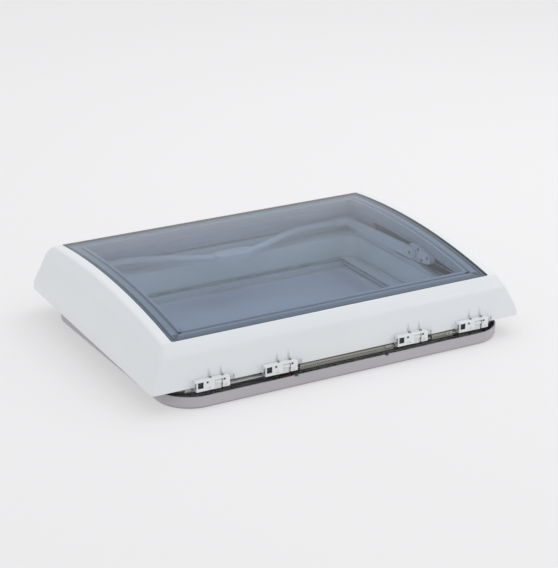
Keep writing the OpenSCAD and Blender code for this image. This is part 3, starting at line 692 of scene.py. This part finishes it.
def bent_slab(name, node, depth, thick, finish, rounding):
    """A bent sheet over the node's plan with rounded corners: rows across it, each a closed loop over the
    top face and back under it, depth and depth + thick below the arc."""
    low, high = (np.array(c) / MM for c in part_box(node))
    turn = rounding * (1 - np.cos(np.linspace(0, np.pi / 2, 7)))
    straight = np.linspace(low[1] + rounding, high[1] - rounding, 70)[1:-1]
    y = np.concatenate([low[1] + turn, straight, (high[1] - turn)[::-1]])[:, None]
    gap = np.clip(rounding - np.minimum(y - low[1], high[1] - y), 0, rounding)
    half = high[0] - rounding + np.sqrt(rounding**2 - gap**2)
    x = half * np.linspace(-1, 1, 15)
    top = np.stack(np.broadcast_arrays(x, y, arch(y) - depth), -1)
    loop = np.concatenate([top, top[:, ::-1] - [0, 0, thick]], 1)
    rows, around = loop.shape[:2]
    faces = grid_faces(rows, around)[:, ::-1].tolist()
    faces.append(range(around))
    faces.append(range(rows * around - 1, (rows - 1) * around - 1, -1))
    piece = mesh_piece(name, loop.reshape(-1, 3), faces, finish, "hood", [node])
    turn_outwards(piece)
    return piece


def spacer_piece():
    """The frame that holds the two panes apart: a ring of even width and the full gap's height."""
    outer, inner, top, bottom = REBATE + 5.4, REBATE + 11, 3.6, 13.9
    corners = ((outer, top), (outer, bottom), (inner, bottom), (inner, top))
    rows = np.array([level(grown(-inset, -inset, -inset, 5, 5), drop, 0) for inset, drop in corners])
    faces = grid_faces(len(rows), rows.shape[1], wrap_rows=True)
    piece = mesh_piece("pane_frame", rows.reshape(-1, 3), faces, SPACER, "hood", ["pane_spacer"])
    turn_outwards(piece)


def turn_outwards(piece):
    """Joins doubled points, drops flat faces and turns the faces outwards."""
    shape = bmesh.new()
    shape.from_mesh(piece.data)
    bmesh.ops.remove_doubles(shape, verts=shape.verts, dist=2e-6)
    bmesh.ops.dissolve_degenerate(shape, dist=1e-6, edges=shape.edges)
    bmesh.ops.recalc_face_normals(shape, faces=shape.faces)
    shape.to_mesh(piece.data)
    shape.free()
    piece.data.polygons.foreach_set("use_smooth", np.ones(len(piece.data.polygons), bool))
    piece.data.set_sharp_from_angle(angle=math.radians(38))


def pleated_blind(name, node, finish):
    """A blind's pleated cloth, packed in its cassette: flat panels that lean up and down in turn between the
    node's lower and upper side. Flat, the cloth is as wide as the node and as long as all its panels."""
    low, high = (np.array(c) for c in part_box(node))
    panels = 72
    back, front = (low[1], high[1]) if high[1] < 0 else (high[1], low[1])
    y = np.linspace(back, front, panels + 1)
    z = np.where(np.arange(panels + 1) % 2, high[2], low[2])
    x = np.linspace(low[0], high[0], 9)
    grid = np.stack(np.broadcast_arrays(x[None, :], y[:, None], z[:, None]), -1)
    faces = grid_faces(panels + 1, 9, wrap_columns=False)
    piece = mesh_piece(name, grid.reshape(-1, 3) / MM, faces, finish, None, [node], smooth=False)
    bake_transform(piece)


# ------------------------------------------------------------------ pieces
hood_piece()
bond_piece()
spacer_piece()
for pane in (
    bent_slab("tinted_pane", "outer_pane", 0.0, PANE_T, TINT, 5),
    bent_slab("clear_pane", "inner_pane", 14.0, 2.5, CLEAR, 6),
):
    pane.visible_shadow = False
    pane.visible_diffuse = False

for k in (1, 2, 3, 4):
    # Painted shade in the hinge brackets' pockets.
    paint_pocket_shade(softened(f"hinge_bracket_{k}", BRACKET, 0.7, 3), (-400, -295.6, 36), (400, -292, 54.4))
    softened(f"hinge_leaf_{k}", LINER, 0.7)
    softened(f"hinge_pin_{k}", STEEL, 0.4)
for side in ("left", "right"):
    softened(f"bow_bracket_{side}", LINER, 0.7)
    softened(f"bow_pin_{side}", STEEL, 0.4)
    softened(f"latch_bolt_{side}", STEEL, 0.4)
    softened(f"bow_guide_{side}", LINER, 0.7)
    softened(f"bow_arm_{side}", LINER, 1.5, 3)
    softened(f"bow_bar_{side}", LINER, 1.5, 3)
    softened(f"blind_rail_{side}", TRAY, 0.8)
softened("bow_grip", LINER, 1.5, 3)
for node in ("hinge_screws", "bow_bracket_screws"):
    softened(node, SCREW, 0.3)
# Painted shade in the hinge rail's pockets.
paint_pocket_shade(softened("hinge_rail", RAIL, 0.2), (-400, -288.4, 32), (400, -287, 36))
for node in ("rail_clips", "screen_bar"):
    softened(node, ALLOY, 0.3)
for node in ("inner_frame", "cassette_front", "cassette_rear", "blackout_bar"):
    softened(node, TRAY, 0.8)
softened("vent_strip", VENT, 0.0)
softened("outer_frame", shaded_liner("frame_liner", (0.87, 0.89, 0.86), 0.0745, 0.0), 0.7)
softened("hood_liner", shaded_liner("hood_liner", (0.68, 0.69, 0.74), 0.085, -0.048), 0.8)
softened("roof_seal", SEAL, 0.8)
softened("weather_seal", SOFT_SEAL, 1.2, 3)
softened("wiring_board", BOARD, 0.2)
softened("terminal_block", TERMINAL, 0.6)
softened("release_button", BUTTON, 1.0, 3)
pleated_blind("blackout_cloth", "blackout_fabric", CLOTH)
pleated_blind("insect_screen", "screen_fabric", MESH)


# ------------------------------------------------------------------ studio
def add_floor():
    """A wide pale floor. Outside the window it glows a little, as a lit studio table does, so shadows stay
    faint; inside the opening it is painted a darker, bluer shade and doesn't glow."""
    f = Finish("studio_floor", None)
    grain = f.noise(3.0)
    tone = f.blend(grain, (0.845, 0.830, 0.838), (0.855, 0.840, 0.848))
    x, y, _ = f.axes()
    outside = 1 - (1 - x.size().step(0.27, 0.36)) * (1 - y.size().step(0.19, 0.29))
    # Inside the opening the floor gets a darker, bluer painted shade.
    tone = f.blend(outside, (0.66, 0.66, 0.70), tone)
    base = f.node("ShaderNodeBsdfPrincipled", inputs={"Base Color": tone, "Roughness": 0.8})
    glow = f.node("ShaderNodeEmission", inputs={"Color": (0.874, 0.858, 0.866, 1.0), "Strength": 1.0})
    f.surface(f.node("ShaderNodeMixShader", inputs={0: outside * 0.55, 1: base, 2: glow}))
    half = 14.0
    corners = [(-half, -half, 0), (half, -half, 0), (half, half, 0), (-half, half, 0)]
    mesh = bpy.data.meshes.new("floor")
    mesh.from_pydata(corners, [], [(0, 1, 2, 3)])
    floor = bpy.data.objects.new("floor", mesh)
    mesh.materials.append(f.material)
    bpy.context.scene.collection.objects.link(floor)


def add_sky():
    """An even white surround."""
    world = bpy.data.worlds.new("studio")
    world.use_nodes = True
    back = world.node_tree.nodes["Background"]
    back.inputs["Color"].default_value = (0.97, 0.985, 1.0, 1.0)
    back.inputs["Strength"].default_value = 0.86
    bpy.context.scene.world = world


add_floor()
add_sky()
add_light("key", (1.6, 0.8, 2.6), (0, 0, 0.1), (2.2, 2.2), 20, mirrored=False)
add_light("crease_strip", (1.2, -0.20, 2.3), (0, -0.25, 0.12), (2.2, 0.16), 4)
add_light("front_box", (1.75, -1.75, 1.05), (0.2, -0.28, 0.09), (1.1, 1.0), 2.2)
bpy.context.scene.view_settings.view_transform = "Standard"
